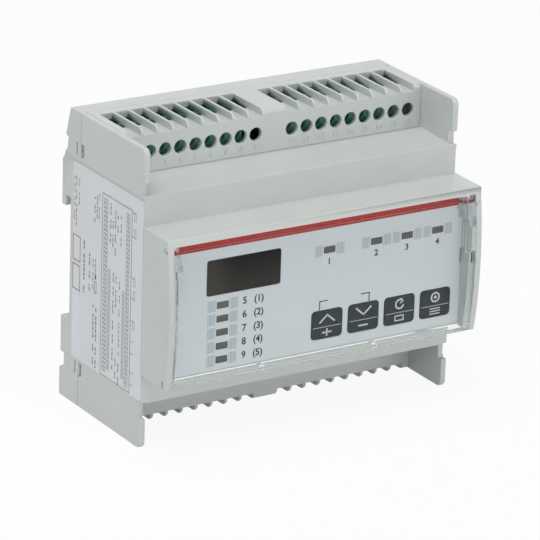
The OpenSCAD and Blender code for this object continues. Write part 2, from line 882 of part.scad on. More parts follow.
module power_transformer() {
    color(dark_grey) place() {
        box([trafo_x - trafo_w / 2, trafo_x + trafo_w / 2], [main_front_d, main_front_d + trafo_d],
            [-trafo_core, trafo_core]);
        box([trafo_x - trafo_w / 4, trafo_x + trafo_w / 4],
            [main_front_d, main_front_d + trafo_d - trafo_step], [-trafo_h / 2, trafo_h / 2]);
    }
}

module alarm_relay() {
    color(relay_white) place()
        box([relay_x - relay_size[0] / 2, relay_x + relay_size[0] / 2],
            [main_front_d, main_front_d + relay_size[1]],
            [relay_z - relay_size[2] / 2, relay_z + relay_size[2] / 2]);
}

module filter_capacitors() {
    color(black) place() for (i = [0, 1])
        post(cap_x + i * (2 * cap_r + 1), cap_z, cap_r, main_front_d, main_front_d + cap_h);
}

module microcontroller() {
    color(black) place()
        pad(chip_x, chip_z, chip_w, chip_w, 0.3, main_front_d, main_front_d + chip_t);
}

// Terminal blocks of the upper left row: the others are its mirror images
// or the same row moved across.

module block_outline() {
    polygon([
        [main_front_d, block_z], [block_front_d, block_z],
        [block_front_d, block_top - block_step_h], [block_step_d, block_top - block_step_h],
        [block_step_d, block_top], [main_front_d, block_top]
    ]);
}

module terminal_block(x0, screw_z) {
    color(terminal_green) place() difference() {
        across(x0, x0 + poles * pitch) block_outline();
        for (i = [0 : poles - 1]) {
            x = x0 + (i + 0.5) * pitch;
            box([x - clamp_w / 2, x + clamp_w / 2], [clamp_d0, clamp_d1],
                [block_top - clamp_h - clamp_sink, block_top + cut]);
            post(x, screw_z, head_r + 0.1, clamp_d1 - cut, block_front_d + cut);
        }
    }
}

module lower() {
    translate([0, 0, body_h]) mirror([0, 0, 1]) children();
}

module terminal_block_top_left() { terminal_block(left_row_x, access_z); }
module terminal_block_top_right() { terminal_block(right_row_x, access_z); }
module terminal_block_bottom_left() { lower() terminal_block(left_row_x, lower_access_z); }
module terminal_block_bottom_right() { lower() terminal_block(right_row_x, lower_access_z); }

module each_pole() {
    for (x0 = [left_row_x, right_row_x], i = [0 : poles - 1])
        translate([x0 + (i + 0.5) * pitch, 0, 0]) children();
}

module terminal_screws(screw_z) {
    color(metal) place() each_pole() {
        post(0, screw_z, head_r, head_d0, head_d0 + head_len);
        post(0, screw_z, shank_r, clamp_d1, head_d0 + cut);
    }
}

module wire_clamps() {
    w = clamp_w - 2 * clamp_gap;
    top = block_top - clamp_sink;
    color(metal) place() each_pole() difference() {
        box([-w / 2, w / 2], [clamp_d0 + clamp_gap, clamp_d1], [top - clamp_h, top]);
        box([-w / 2 + clamp_t, w / 2 - clamp_t], [clamp_d0 + clamp_gap + clamp_t, clamp_d1 - clamp_t],
            [top - clamp_h - cut, top + cut]);
    }
}

module terminal_screws_top() { terminal_screws(access_z); }
module terminal_screws_bottom() { lower() terminal_screws(lower_access_z); }
module wire_clamps_top() { wire_clamps(); }
module wire_clamps_bottom() { lower() wire_clamps(); }

// Rail latches: a rib with flanges that run in the guide, and a nose for the rail.

module rail_latch(x) {
    foot = -half_h + latch_lift;
    nose = -rail_z + latch_reach;
    front = latch_front_d;
    mouth = -lower_block_z - guide_stop - latch_gap;
    slot = peg_r + latch_gap;
    color(dark_grey) place() translate([x, 0, 0]) difference() {
        union() {
            across(-latch_w / 2, latch_w / 2) polygon([
                [latch_back, foot], [front, foot], [front, nose],
                [front - latch_nose[0], nose], [latch_back, nose - latch_nose[1]]
            ]);
            box([-latch_flange_w / 2, latch_flange_w / 2], [guide_lip + latch_gap, front], [foot, mouth]);
        }
        box([-pull_size[0] / 2, pull_size[0] / 2], [-cut, front + cut],
            [foot + pull_lift, foot + pull_lift + pull_size[1]]);
        box([-slot, slot], [-cut, front + cut], [peg_z - slot, peg_z + slot + latch_travel]);
    }
}

module rail_latch_left() { rail_latch(-latch_x); }
module rail_latch_right() { rail_latch(latch_x); }

// Label on the left side wall, lying in the shallow field.

module side_label() {
    color(label_white) place()
        box([-half_w + field_cut - label_t, -half_w + field_cut], [label_rear, shoulder_d - label_front],
            [field_top - label_gap - label_h, field_top - label_gap]);
}

rear_base();
front_shell();
terminal_cover_top();
terminal_cover_bottom();
front_door();
front_panel();
display_window();
status_windows();
measure_windows();
up_key();
down_key();
reset_key();
test_key();
up_plunger();
down_plunger();
reset_plunger();
test_plunger();
key_switches();
display_module();
status_leds();
measure_leds();
display_board();
display_board_screws();
board_header();
main_board();
main_board_screws();
power_transformer();
alarm_relay();
filter_capacitors();
microcontroller();
terminal_block_top_left();
terminal_block_top_right();
terminal_block_bottom_left();
terminal_block_bottom_right();
terminal_screws_top();
terminal_screws_bottom();
wire_clamps_top();
wire_clamps_bottom();
rail_latch_left();
rail_latch_right();
side_label();
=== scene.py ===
# %% [markdown]
# # Dressing an insulation monitoring device
# The device is a grey plastic box for a 35 mm rail, with screw terminals above and
# below, a front panel with a display and keys, and a clear hinged door. The packed
# model already holds every piece at its true size and place, so Blender only has to
# give each one its finish. Loading the model first means that nothing has to be
# fitted later, because every new piece is measured from a piece that is already there.

# %% Load the frame
import math

import bmesh
import bpy
from mathutils import Matrix, Vector
from mathutils.bvhtree import BVHTree


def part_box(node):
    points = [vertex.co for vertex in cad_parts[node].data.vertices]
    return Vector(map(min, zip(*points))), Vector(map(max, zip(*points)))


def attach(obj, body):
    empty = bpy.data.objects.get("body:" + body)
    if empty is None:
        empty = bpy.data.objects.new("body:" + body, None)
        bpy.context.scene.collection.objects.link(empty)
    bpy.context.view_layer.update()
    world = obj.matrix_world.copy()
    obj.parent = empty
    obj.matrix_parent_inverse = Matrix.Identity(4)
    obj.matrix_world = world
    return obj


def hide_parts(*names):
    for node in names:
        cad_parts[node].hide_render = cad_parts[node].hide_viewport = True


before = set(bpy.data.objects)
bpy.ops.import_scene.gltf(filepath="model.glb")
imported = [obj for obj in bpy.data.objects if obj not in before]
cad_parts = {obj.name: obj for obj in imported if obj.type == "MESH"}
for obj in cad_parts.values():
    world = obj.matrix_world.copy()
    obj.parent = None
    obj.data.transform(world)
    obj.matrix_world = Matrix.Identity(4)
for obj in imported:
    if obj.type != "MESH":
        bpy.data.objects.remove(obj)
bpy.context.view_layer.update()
print("pieces in the frame:", len(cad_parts))

# %% [markdown]
# ## The device's own measures
# A maker's drawing of this housing gives three measures: across from the middle,
# depth ahead of the rear face, and height from the middle. Scene coordinates are in
# metres with Y to the back, so one small function turns the one into the other. The
# rear face and the middle are read from the base, and not typed in again.

# %% Places in the device's own measures
MM = 0.001
base_low, base_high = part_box("rear_base")
REAR_Y = base_high.y
MIDDLE_Z = (base_low.z + base_high.z) / 2


def spot(across, depth, height):
    """The scene's point for a place across, a depth and a height in millimetres."""
    return Vector((across * MM, REAR_Y - depth * MM, MIDDLE_Z + height * MM))


def measures(node):
    """Lowest and highest across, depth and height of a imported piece, in millimetres."""
    low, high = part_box(node)
    return (
        Vector((low.x, REAR_Y - high.y, low.z - MIDDLE_Z)) / MM,
        Vector((high.x, REAR_Y - low.y, high.z - MIDDLE_Z)) / MM,
    )


panel_high = measures("front_panel")[1]
PANEL_DEPTH = panel_high.y
print("panel at depth", round(PANEL_DEPTH, 2), "mm, half width", round(panel_high.x, 2))

# %% [markdown]
# ## Camera
# The photograph was taken from the front left and a little above, with a long lens
# from over a metre away, so that parallel edges hardly converge. A camera is placed
# by its direction, its distance and what it looks at, which keeps the numbers
# readable. The small shift moves the frame and leaves the perspective as it is.

# %% Place the camera
AZIMUTH = math.radians(-32.07)
ELEVATION = math.radians(20.59)
ROLL = math.radians(1.85)
LOOKED_AT = spot(0, 25, 0)
DISTANCE = 1173.8 * MM
ASIDE, BELOW = 1.86 * MM, -10.94 * MM
SENSOR = 36.0
FRAME_PIXELS = 540
FOCAL_PIXELS = 4019.2
CENTRE_PIXEL = (265.8, 285.6)
FURTHEST_SEEN = 20

level = math.cos(ELEVATION)
backward = Vector((math.sin(AZIMUTH) * level, -math.cos(AZIMUTH) * level, math.sin(ELEVATION)))
level_right = (-backward).cross(Vector((0, 0, 1))).normalized()
level_up = level_right.cross(-backward)
right = level_right * math.cos(ROLL) + level_up * math.sin(ROLL)
up = level_up * math.cos(ROLL) - level_right * math.sin(ROLL)

camera = bpy.data.objects.new("camera", bpy.data.cameras.new("camera"))
bpy.context.scene.collection.objects.link(camera)
place = LOOKED_AT + right * ASIDE + up * BELOW + backward * DISTANCE
turn = Matrix((right, up, backward)).transposed().to_4x4()
camera.matrix_world = Matrix.Translation(place) @ turn
camera.data.sensor_fit = "HORIZONTAL"
camera.data.sensor_width = SENSOR
camera.data.lens = FOCAL_PIXELS * SENSOR / FRAME_PIXELS
camera.data.shift_x = (FRAME_PIXELS / 2 - CENTRE_PIXEL[0]) / FRAME_PIXELS
camera.data.shift_y = (CENTRE_PIXEL[1] - FRAME_PIXELS / 2) / FRAME_PIXELS
camera.data.clip_end = FURTHEST_SEEN
bpy.context.scene.camera = camera
print("lens", round(camera.data.lens, 1), "mm")

# %% [markdown]
# ## Small tools for node trees
# Light, floor and finishes are all made of nodes, and the same few come back in each:
# a calculation, a change of range, one axis of the coordinates, a kind of ray and a
# mix of two shaders. Each gets a small function, so that a finish reads as a recipe.

# %% Node tools


def with_values(node, **values):
    """Sets plain values on a node's sockets, named with _ for a space."""
    for socket, value in values.items():
        node.inputs[socket.replace("_", " ")].default_value = value
    return node


def added(tree, kind, **values):
    return with_values(tree.nodes.new("ShaderNode" + kind), **values)


def new_finish(name, **values):
    """A material, its tree and its shader, with constant values on the shader's sockets."""
    material = bpy.data.materials.new(name)
    material.use_nodes = True
    tree = material.node_tree
    return material, tree, with_values(tree.nodes["Principled BSDF"], **values)


def calculated(tree, operation, *terms):
    """The result of one operation on sockets and numbers, held between 0 and 1."""
    node = added(tree, "Math")
    node.operation = operation
    node.use_clamp = True
    for socket, term in zip(node.inputs, terms):
        if isinstance(term, bpy.types.NodeSocket):
            tree.links.new(term, socket)
        else:
            socket.default_value = term
    return node.outputs[0]


def ramp(tree, value, start, end, low, high, form="LINEAR"):
    """Carries a value that runs from start to end over to a run from low to high."""
    node = added(tree, "MapRange", From_Min=start, From_Max=end, To_Min=low, To_Max=high)
    node.interpolation_type = form
    tree.links.new(value, node.inputs["Value"])
    return node.outputs["Result"]


def one_axis(tree, space, axis):
    """One axis of the coordinates in this space."""
    parts = added(tree, "SeparateXYZ")
    tree.links.new(added(tree, "TexCoord").outputs[space], parts.inputs[0])
    return parts.outputs[axis]


def rays_of(tree, *kinds):
    """1 for rays of any of these kinds, and 0 for the others."""
    paths = added(tree, "LightPath")
    total = paths.outputs[kinds[0]]
    for kind in kinds[1:]:
        total = calculated(tree, "ADD", total, paths.outputs[kind])
    return total


def mix_surfaces(tree, factor, first, second):
    """Puts a mix of two shaders on the material's output."""
    mix = added(tree, "MixShader")
    for term, socket in zip((factor, first.outputs[0], second.outputs[0]), mix.inputs):
        tree.links.new(term, socket)
    tree.links.new(mix.outputs[0], tree.nodes["Material Output"].inputs["Surface"])


print("node tools ready")

# %% [markdown]
# ## Studio
# The picture is a catalogue shot: white surroundings and broad soft light. Much of
# that light comes from low down all round, so the world is strong there and fades to
# almost nothing straight above. A large lamp high on the left takes over: it makes the
# upper faces the brightest and reaches between the ribs, and a weaker one fills the
# shade in front. The camera, mirrors and clear plastic see pure white, which Light
# Path tells apart from light that falls on a surface.

# %% World and lamps
scene = bpy.context.scene
scene.view_settings.view_transform = "Standard"
WHITE = (1, 1, 1, 1)
SEEN_RAYS = ("Is Camera Ray", "Is Glossy Ray", "Is Transmission Ray")
AMBIENT_SKY, AMBIENT_GROUND = 0.1, 1.6
LAMP_AIM = (0, 0, 0.04)
KEY_PLACE, KEY_SIZE, KEY_POWER = (-0.28, -0.15, 1.35), (1.0, 1.0), 12.2
FILL_PLACE, FILL_SIZE, FILL_POWER = (0.25, -1.3, 0.26), (1.4, 0.6), 3.6


def light_the_world():
    world = bpy.data.worlds.new("studio")
    world.use_nodes = True
    tree = world.node_tree
    height = one_axis(tree, "Generated", "Z")
    choose = added(tree, "Mix", B=1.0)
    tree.links.new(rays_of(tree, *SEEN_RAYS), choose.inputs["Factor"])
    falling = ramp(tree, height, -1, 1, AMBIENT_GROUND, AMBIENT_SKY)
    tree.links.new(falling, choose.inputs["A"])
    background = with_values(tree.nodes["Background"], Color=WHITE)
    tree.links.new(choose.outputs["Result"], background.inputs["Strength"])
    scene.world = world


def hang_lamp(name, place, size, power):
    """A rectangular lamp aimed at the middle of the device."""
    lamp = bpy.data.lights.new(name, "AREA")
    lamp.shape = "RECTANGLE"
    lamp.size, lamp.size_y = size
    lamp.energy = power
    holder = bpy.data.objects.new(name, lamp)
    holder.location = place
    aim = Vector(LAMP_AIM) - Vector(place)
    holder.rotation_euler = aim.to_track_quat("-Z", "Y").to_euler()
    scene.collection.objects.link(holder)


light_the_world()
hang_lamp("key_light", KEY_PLACE, KEY_SIZE, KEY_POWER)
hang_lamp("front_fill", FILL_PLACE, FILL_SIZE, FILL_POWER)
print("lamps hung:", len(bpy.data.lights))

# %% [markdown]
# ## Floor
# The floor is plain and pale, and it has to look white without lighting the device
# from below more than a white table would. The camera sees mostly its own whiteness,
# and the rest of what it sees is the real surface, which keeps a soft shadow.

# %% Lay the floor
FLOOR_SIZE = 8.0
FLOOR_TONE = (0.86, 0.86, 0.86, 1)
FLOOR_WHITENESS = 0.92


def floor_finish():
    material, tree, surface = new_finish(
        "pale floor", Base_Color=FLOOR_TONE, Roughness=0.9, Specular_IOR_Level=0.1
    )
    whiteness = calculated(tree, "MULTIPLY", rays_of(tree, *SEEN_RAYS), FLOOR_WHITENESS)
    mix_surfaces(tree, whiteness, surface, added(tree, "Emission", Color=WHITE))
    return material


def lay_floor():
    shape = bmesh.new()
    bmesh.ops.create_grid(shape, x_segments=1, y_segments=1, size=FLOOR_SIZE / 2)
    mesh = bpy.data.meshes.new("floor")
    shape.to_mesh(mesh)
    shape.free()
    mesh.materials.append(floor_finish())
    floor = bpy.data.objects.new("floor", mesh)
    scene.collection.objects.link(floor)


lay_floor()
print("floor laid, metres across:", FLOOR_SIZE)

# %% [markdown]
# ## How a finish is made
# A moulded, printed or plated surface is never one flat colour. Three things vary on
# it: the colour a little over centimetres, the gloss over millimetres, and the height
# over tenths of a millimetre. Each gets its own noise, read in object coordinates,
# so that the pattern has its true size on every piece. Values that are the same all
# over are set on the shader itself.

# %% Building blocks for finishes
NOISE_MIDDLE = (0.3, 0.7)


def noise(tree, grain):
    """Noise whose grains are about this many millimetres across."""
    pattern = added(tree, "TexNoise", Scale=1 / (grain * MM), Detail=2.0)
    tree.links.new(added(tree, "TexCoord").outputs["Object"], pattern.inputs["Vector"])
    return pattern.outputs["Fac"]


def between(tree, pattern, low, high):
    """Spreads a noise's useful middle range from low to high."""
    return ramp(tree, pattern, *NOISE_MIDDLE, low, high)


def two_tones(tree, pattern, dark, light):
    """A colour that moves between two tones with a pattern."""
    mix = added(tree, "Mix")
    mix.data_type = "RGBA"
    with_values(mix, A=(*dark, 1), B=(*light, 1))
    tree.links.new(pattern, mix.inputs["Factor"])
    return mix.outputs["Result"]


def tone_about(colour, share):
    """A darker and a lighter version of a colour."""
    return [c * (1 - share) for c in colour], [min(1, c * (1 + share)) for c in colour]


def give_colour(tree, shader, colour, share, grain):
    """A colour that varies by this share of itself."""
    pattern = between(tree, noise(tree, grain), 0, 1)
    tones = two_tones(tree, pattern, *tone_about(colour, share))
    tree.links.new(tones, shader.inputs["Base Color"])


def give_gloss(tree, shader, low, high, grain):
    """A roughness that varies from low to high."""
    tree.links.new(between(tree, noise(tree, grain), low, high), shader.inputs["Roughness"])


def give_relief(tree, shader, grain, depth, strength=1.0):
    """Fine relief of this grain and depth, both in millimetres."""
    bump = added(tree, "Bump", Distance=depth * MM, Strength=strength)
    tree.links.new(noise(tree, grain), bump.inputs["Height"])
    tree.links.new(bump.outputs["Normal"], shader.inputs["Normal"])


print("finish helpers ready")

# %% [markdown]
# ## Plastics
# The housing is moulded in a spark-eroded tool, which leaves a fine, even, satin
# grain. The same recipe with other numbers gives the terminal plastic, the keys, the
# latches, the relay's case and the foil, so it is one function. A rougher skin
# scatters more light, and a foil has a much finer grain than a housing.

# %% Moulded and printed plastics


def plastic(name, colour, share=0.02, gloss=(0.34, 0.42), grain=0.35, depth=0.010, shine=0.5):
    """A colour and how much it varies, gloss limits, a skin in millimetres, and shine."""
    material, tree, shader = new_finish(name, IOR=1.5, Specular_IOR_Level=shine)
    give_colour(tree, shader, colour, share, grain=18)
    give_gloss(tree, shader, *gloss, grain=5)
    give_relief(tree, shader, grain, depth)
    return material


housing_grey = plastic("housing_grey", (0.565, 0.597, 0.577))
terminal_green = plastic("terminal_green", (0.085, 0.29, 0.20), 0.08, (0.35, 0.5))
key_grey = plastic("key_grey", (0.018, 0.027, 0.027), 0.08, (0.4, 0.5), 0.2, 0.006, 0.25)
black_plastic = plastic("black_plastic", (0.018, 0.018, 0.019), 0.1, (0.3, 0.45))
latch_grey = plastic("latch_grey", (0.30, 0.31, 0.31), 0.03, (0.4, 0.5))
relay_plastic = plastic("relay_plastic", (0.66, 0.66, 0.62), 0.02, (0.25, 0.35), 0.3, 0.006)
capacitor_sleeve = plastic(
    "capacitor_sleeve", (0.02, 0.02, 0.028), 0.05, (0.2, 0.3), grain=1.5, depth=0.01
)
panel_foil = plastic(
    "panel_foil", (0.705, 0.735, 0.760), 0.008, (0.42, 0.5), 0.12, 0.003, shine=0.3
)
label_white = plastic("label_white", (0.70, 0.72, 0.745), 0.012, (0.5, 0.6), 0.15, 0.003)
print("plastics and the floor:", len(bpy.data.materials))

# %% [markdown]
# ## Inks
# Printed areas are a few hundredths of a millimetre thick and at least as glossy as
# what they lie on. They are real thin pieces here, so a print keeps its sharp edge at
# any zoom.

# %% Inks


def ink(name, colour, share, gloss, shine=0.2):
    """Ink takes on the fine skin of the film that it lies on."""
    return plastic(name, colour, share, gloss, grain=0.12, depth=0.002, shine=shine)


red_ink = ink("red_ink", (0.46, 0.026, 0.024), 0.03, (0.35, 0.42))
pale_ink = ink("pale_ink", (0.48, 0.53, 0.55), 0.02, (0.3, 0.4))
dark_ink = ink("dark_ink", (0.045, 0.05, 0.055), 0.05, (0.4, 0.5))
grey_ink = ink("grey_ink", (0.20, 0.21, 0.225), 0.05, (0.5, 0.6), shine=0.5)
field_white = ink("field_white", (0.70, 0.73, 0.78), 0.01, (0.35, 0.4), shine=0.5)
legend_white = ink("legend_white", (0.62, 0.65, 0.66), 0.02, (0.4, 0.5))
print("inks ready, finishes so far:", len(bpy.data.materials))

# %% [markdown]
# ## Clear, smoked and frosted parts
# The door is polycarbonate about 1.6 mm thick: clear, glossy and with faint flow
# marks from the mould. Glass in a ray tracer blocks the lamps and leaves what is
# behind it in the dark, so rays from lamps pass through a plain transparent shader.
# So do rays that are thrown back and forth inside the plate: a ray tracer gives them
# up after a few turns, and the plate's edges would come out black. The hinge's barrel
# is left out, because there such a ray would draw a white line. The display lens is
# smoked so deeply that it reads as a dark gloss, and the indicator lenses are milky.

# %% Clear and smoked finishes
DOOR_TINT = (0.965, 0.98, 0.98, 1)
PASSING_TINT = (0.93, 0.945, 0.945, 1)
TURNS_INSIDE = 2.5
BARREL_HEIGHT = 4 * MM
# Painted light on the display lens: it pales towards its left end and towards its foot.
PAINTED_LIGHT_SHARE = 0.42
LEFT_PAINTED_LIGHT, FOOT_PAINTED_LIGHT = 0.78, 0.55
SMOKE_DARK, SMOKE_PAINTED_LIT = (0.004, 0.003, 0.0015), (0.050, 0.047, 0.040)


def clear_door_finish():
    """Clear plastic that rays from lamps and trapped rays pass straight through."""
    material, tree, shader = new_finish(
        "clear_plastic", Base_Color=DOOR_TINT, Roughness=0.02, IOR=1.2, Transmission_Weight=1.0
    )
    give_relief(tree, shader, grain=30, depth=0.003, strength=0.5)
    turns = added(tree, "LightPath").outputs["Glossy Depth"]
    trapped = calculated(tree, "GREATER_THAN", turns, TURNS_INSIDE)
    plate_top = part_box("front_door")[1].z - BARREL_HEIGHT
    in_plate = calculated(tree, "LESS_THAN", one_axis(tree, "Object", "Z"), plate_top)
    from_lamps = rays_of(tree, "Is Shadow Ray", "Is Diffuse Ray")
    let_through = calculated(tree, "MULTIPLY_ADD", trapped, in_plate, from_lamps)
    passing = added(tree, "BsdfTransparent", Color=PASSING_TINT)
    mix_surfaces(tree, let_through, shader, passing)
    return material


def lens_skin(tree, shader, low, high):
    """The gloss and faint waves of both kinds of lens."""
    give_gloss(tree, shader, low, high, grain=6)
    give_relief(tree, shader, grain=9, depth=0.01, strength=0.5)


def milky_finish():
    material, tree, shader = new_finish("indicator_lens", IOR=1.52, Specular_IOR_Level=0.2)
    give_colour(tree, shader, (0.118, 0.114, 0.099), 0.08, grain=12)
    lens_skin(tree, shader, 0.3, 0.4)
    return material


def fade(tree, place, start, end, full):
    """Runs smoothly from 0 at one coordinate to full at another."""
    return ramp(tree, place, start, end, 0, full, "SMOOTHSTEP")


def smoked_finish():
    """Darkest above, with painted light that pales it towards the left end and the foot."""
    low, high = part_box("display_window")
    material, tree, shader = new_finish("display_lens", IOR=1.52, Specular_IOR_Level=0.03)
    # Painted light: paler towards the left end, and paler towards the foot.
    painted_light_end = low.x + PAINTED_LIGHT_SHARE * (high.x - low.x)
    left_painted_light = fade(tree, one_axis(tree, "Object", "X"), painted_light_end, low.x, LEFT_PAINTED_LIGHT)
    foot = fade(tree, one_axis(tree, "Object", "Z"), high.z, low.z, FOOT_PAINTED_LIGHT)
    lightness = calculated(tree, "ADD", left_painted_light, foot)
    tones = two_tones(tree, lightness, SMOKE_DARK, SMOKE_PAINTED_LIT)
    tree.links.new(tones, shader.inputs["Base Color"])
    lens_skin(tree, shader, 0.12, 0.18)
    return material


clear_plastic = clear_door_finish()
display_lens = smoked_finish()
indicator_lens = milky_finish()
print("clear finishes ready")

# %% [markdown]
# ## Metals and boards
# Screws are zinc-plated steel, slightly dulled, and clamps are nickel-plated. A
# circuit board is green solder resist over copper: the copper tracks shimmer through
# lighter, which a fine brick pattern imitates well enough for something that is seen
# only through slots.

# %% Metals and boards
TRACK_PITCH = 6 * MM
RESIST_DARK, RESIST_LIGHT = (0.018, 0.085, 0.038, 1), (0.025, 0.11, 0.05, 1)
TRACK_GREEN, TRACK_SHARE = (0.06, 0.20, 0.09, 1), 0.07


def metal(name, colour, gloss, grain, depth):
    material, tree, shader = new_finish(name, Metallic=1.0)
    give_colour(tree, shader, colour, 0.05, grain=2)
    give_gloss(tree, shader, *gloss, grain=0.8)
    give_relief(tree, shader, grain, depth)
    return material


def board_finish():
    material, tree, shader = new_finish("board_green", IOR=1.55)
    upright = added(tree, "Mapping", Rotation=(math.radians(90), 0, 0))
    tracks = added(
        tree, "TexBrick", Scale=1 / TRACK_PITCH, Mortar_Size=TRACK_SHARE,
        Color1=RESIST_DARK, Color2=RESIST_LIGHT, Mortar=TRACK_GREEN,
    )
    tree.links.new(added(tree, "TexCoord").outputs["Object"], upright.inputs["Vector"])
    tree.links.new(upright.outputs[0], tracks.inputs["Vector"])
    tree.links.new(tracks.outputs["Color"], shader.inputs["Base Color"])
    give_gloss(tree, shader, 0.22, 0.35, grain=4)
    return material


screw_steel = metal("screw_steel", (0.55, 0.55, 0.54), (0.28, 0.42), 0.12, 0.004)
clamp_nickel = metal("clamp_nickel", (0.62, 0.60, 0.56), (0.2, 0.32), 0.3, 0.004)
transformer_lacquer = plastic(
    "transformer_lacquer", (0.03, 0.028, 0.026), 0.2, (0.2, 0.4), grain=0.5, depth=0.02
)
board_green = board_finish()
print("finishes in all:", len(bpy.data.materials))

# %% [markdown]
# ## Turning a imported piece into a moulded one
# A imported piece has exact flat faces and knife-sharp edges. Real mouldings have edges
# of a few tenths of a millimetre, and those narrow rounds catch the light and draw
# every edge of the picture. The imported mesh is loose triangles, so a copy is merged
# into whole faces first. Then every sharp edge gets a weight for the Bevel modifier:
# full radius where there is room, and less where a step, a rib or a slot is too
# narrow for it. A toolmaker does so too, since a round can't be wider than the wall
# that it runs along.

# %% Soft-edged copies
MERGE_GAP = 0.002 * MM
FLAT, SHARP = math.radians(0.3), math.radians(30)
ASIDE_SHARE = 0.7
SHARE_OF_ROOM = 0.4
LEAST_WEIGHT = 0.12


def merged_copy(node):
    """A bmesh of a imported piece, with its loose triangles joined into faces."""
    shape = bmesh.new()
    shape.from_mesh(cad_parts[node].data)
    bmesh.ops.remove_doubles(shape, verts=shape.verts, dist=MERGE_GAP)
    bmesh.ops.dissolve_limit(shape, angle_limit=FLAT, verts=shape.verts, edges=shape.edges)
    return shape


def sharp_edges(shape):
    return [e for e in shape.edges if len(e.link_faces) == 2 and e.calc_face_angle(0) > SHARP]


def room_for_rounds(shape, sharp):
    """The widest round, in metres, that fits each sharp edge beside its neighbours."""
    room = {edge: 1.0 for edge in sharp}
    for face in shape.faces:
        for edge in face.edges:
            if edge not in room:
                continue
            start, end = (vertex.co for vertex in edge.verts)
            length = edge.calc_length()
            along = (end - start) / length
            for vertex in face.verts:
                if vertex in edge.verts:
                    continue
                reach = min(max((vertex.co - start).dot(along), 0.0), length)
                away = vertex.co - (start + along * reach)
                if abs(away.dot(along)) < ASIDE_SHARE * away.length:
                    for limited in (edge, *vertex.link_edges):
                        if limited in room:
                            room[limited] = min(room[limited], SHARE_OF_ROOM * away.length)
    return room


def soften(shape, radius):
    """Marks every sharp edge, and weighs it for a round of up to radius millimetres."""
    weights = shape.edges.layers.float.new("bevel_weight_edge")
    room = room_for_rounds(shape, set(sharp_edges(shape)))
    for face in shape.faces:
        face.smooth = True
    for edge, width in room.items():
        weight = min(1.0, width / (radius * MM))
        if weight > LEAST_WEIGHT:
            edge[weights] = weight
        else:
            edge.smooth = False


print("edges are sharp from", round(math.degrees(SHARP)), "degrees")

# %% [markdown]
# ## Carrying out the rounds
# Each piece goes into the scene on the body that it moves with. The Bevel modifier
# makes its rounds, and even normals keep the flat faces flat. At a few crowded corners
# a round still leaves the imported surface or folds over. So the result is held against
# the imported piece, and where a point strays, the edges beside it become sharp again.

# %% Rounded pieces
STRAY_SHARE = 0.5
LEAST_FOLD, FOLDED = 0.004 * MM * MM, -0.5
REACH_OF_FOLD = 0.9 * MM
TRIES = 4
EVENNESS = 80


def add_piece(name, shape, body, material, replaced=()):
    """Puts a finished bmesh in the scene, on its body, with its finish."""
    mesh = bpy.data.meshes.new(name)
    shape.to_mesh(mesh)
    shape.free()
    mesh.materials.append(material)
    piece = bpy.data.objects.new(name, mesh)
    scene.collection.objects.link(piece)
    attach(piece, body)
    if replaced:
        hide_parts(*replaced)
    print(name, "faces:", len(mesh.polygons))
    return piece


def packed_surface(node):
    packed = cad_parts[node].data
    return BVHTree.FromPolygons(
        [v.co for v in packed.vertices], [p.vertices for p in packed.polygons]
    )


def strays(piece, surface, radius):
    """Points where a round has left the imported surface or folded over."""
    bpy.context.view_layer.update()
    made = piece.evaluated_get(bpy.context.evaluated_depsgraph_get())
    mesh = made.to_mesh()
    limit = STRAY_SHARE * radius
    found = [v.co.copy() for v in mesh.vertices if surface.find_nearest(v.co)[3] > limit]
    for face in mesh.polygons:
        if face.area > LEAST_FOLD:
            outward = surface.find_nearest(face.center)[1]
            if outward.dot(face.normal) < FOLDED:
                found.append(face.center.copy())
    made.to_mesh_clear()
    return found


def beside(stray, start, end):
    """Whether a point lies within a fold's reach of an edge."""
    span = end - start
    share = min(max((stray - start).dot(span) / span.length_squared, 0), 1)
    return (start + span * share - stray).length < REACH_OF_FOLD


def round_edges(piece, node, radius):
    """Carries out the rounds, and takes back the few that turn out not to fit."""
    bevel = piece.modifiers.new("rounded edges", "BEVEL")
    bevel.limit_method = "WEIGHT"
    bevel.width = radius
    bevel.segments = 2
    bevel.use_clamp_overlap = False
    surface = packed_surface(node)
    weights = piece.data.attributes["bevel_weight_edge"].data
    points = piece.data.vertices
    taken_back = 0
    for _ in range(TRIES):
        found = strays(piece, surface, radius)
        if not found:
            break
        for edge in piece.data.edges:
            if weights[edge.index].value == 0:
                continue
            start, end = (points[index].co for index in edge.vertices)
            if any(beside(stray, start, end) for stray in found):
                weights[edge.index].value = 0
                edge.use_edge_sharp = True
                taken_back += 1
    even = piece.modifiers.new("even normals", "WEIGHTED_NORMAL")
    even.keep_sharp = True
    even.weight = EVENNESS
    return taken_back, len(found)


def moulded(name, node, body, material, radius):
    """A soft-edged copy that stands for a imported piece."""
    shape = merged_copy(node)
    soften(shape, radius)
    piece = add_piece(name, shape, body, material, (node,))
    taken_back, left = round_edges(piece, node, radius * MM)
    print("    rounds taken back:", taken_back, "points that still stray:", left)

# %% [markdown]
# ## Housing
# The housing is four mouldings that snap together: the rear base with the rail hook,
# the front shell with its fins and nose, and two terminal covers. Their edges are
# rounded a little differently, because the covers' ribs are barely a millimetre
# thick and would lose their shape under the shell's radius.

# %% Mould the housing
for name, node, radius in (
    ("housing_front", "front_shell", 0.4),
    ("housing_rear", "rear_base", 0.3),
    ("cover_upper", "terminal_cover_top", 0.25),
    ("cover_lower", "terminal_cover_bottom", 0.25),
):
    moulded(name, node, "housing", housing_grey, radius)

# %% [markdown]
# ## Door
# The clear door is a bent plate with narrow side walls and two stub pins. It gets
# thin rounds too: on clear plastic they are what makes the outline visible at all,
# as a fine bright line beside a fine dark one.

# %% Mould the door
moulded("clear_door", "front_door", "door", clear_plastic, 0.14)

# %% [markdown]
# ## Keys, lenses and latches
# The keys are hard plastic caps with a softly rounded front edge. The lenses are
# small inlays, almost flush with the foil. The rail latches are sliders that carry
# no load on their edges, so a plain small round is right for them.

